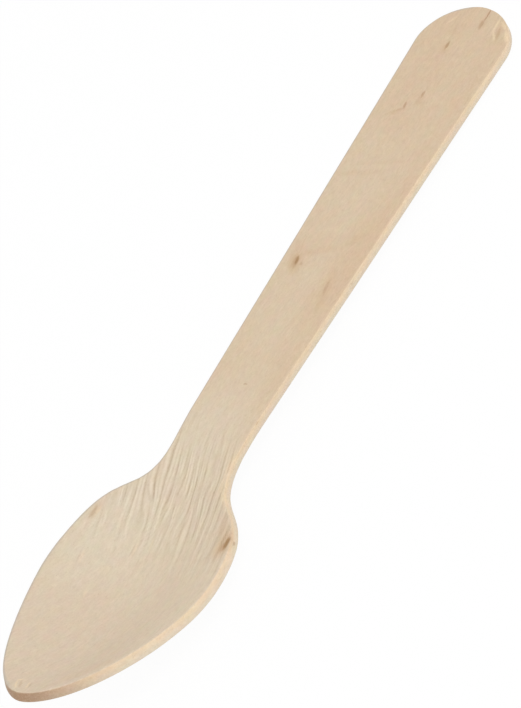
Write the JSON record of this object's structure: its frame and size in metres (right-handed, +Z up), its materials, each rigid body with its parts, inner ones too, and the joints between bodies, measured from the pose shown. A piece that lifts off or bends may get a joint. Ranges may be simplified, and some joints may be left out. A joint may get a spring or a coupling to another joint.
{
  "type": "wooden spoon",
  "caption": "Disposable wooden spoon pressed from birch veneer, with a flat tapering handle, a round handle end and a shallow pointed bowl.",
  "frame": {"origin": "middle of the underside of the box around the spoon, as it lies at rest on a table with the bowl open upwards", "axes": "+X from the handle's end to the tip of the bowl, +Y across the spoon, +Z up out of the bowl"},
  "size_m": [0.1608, 0.0366, 0.0156],
  "materials": {
    "birch_veneer": "bare pale birch, matt, with fine grain along the spoon and a few brown flecks"
  },
  "bodies": {
    "root": {"spoon": "birch_veneer"}
  },
  "joints": []
}
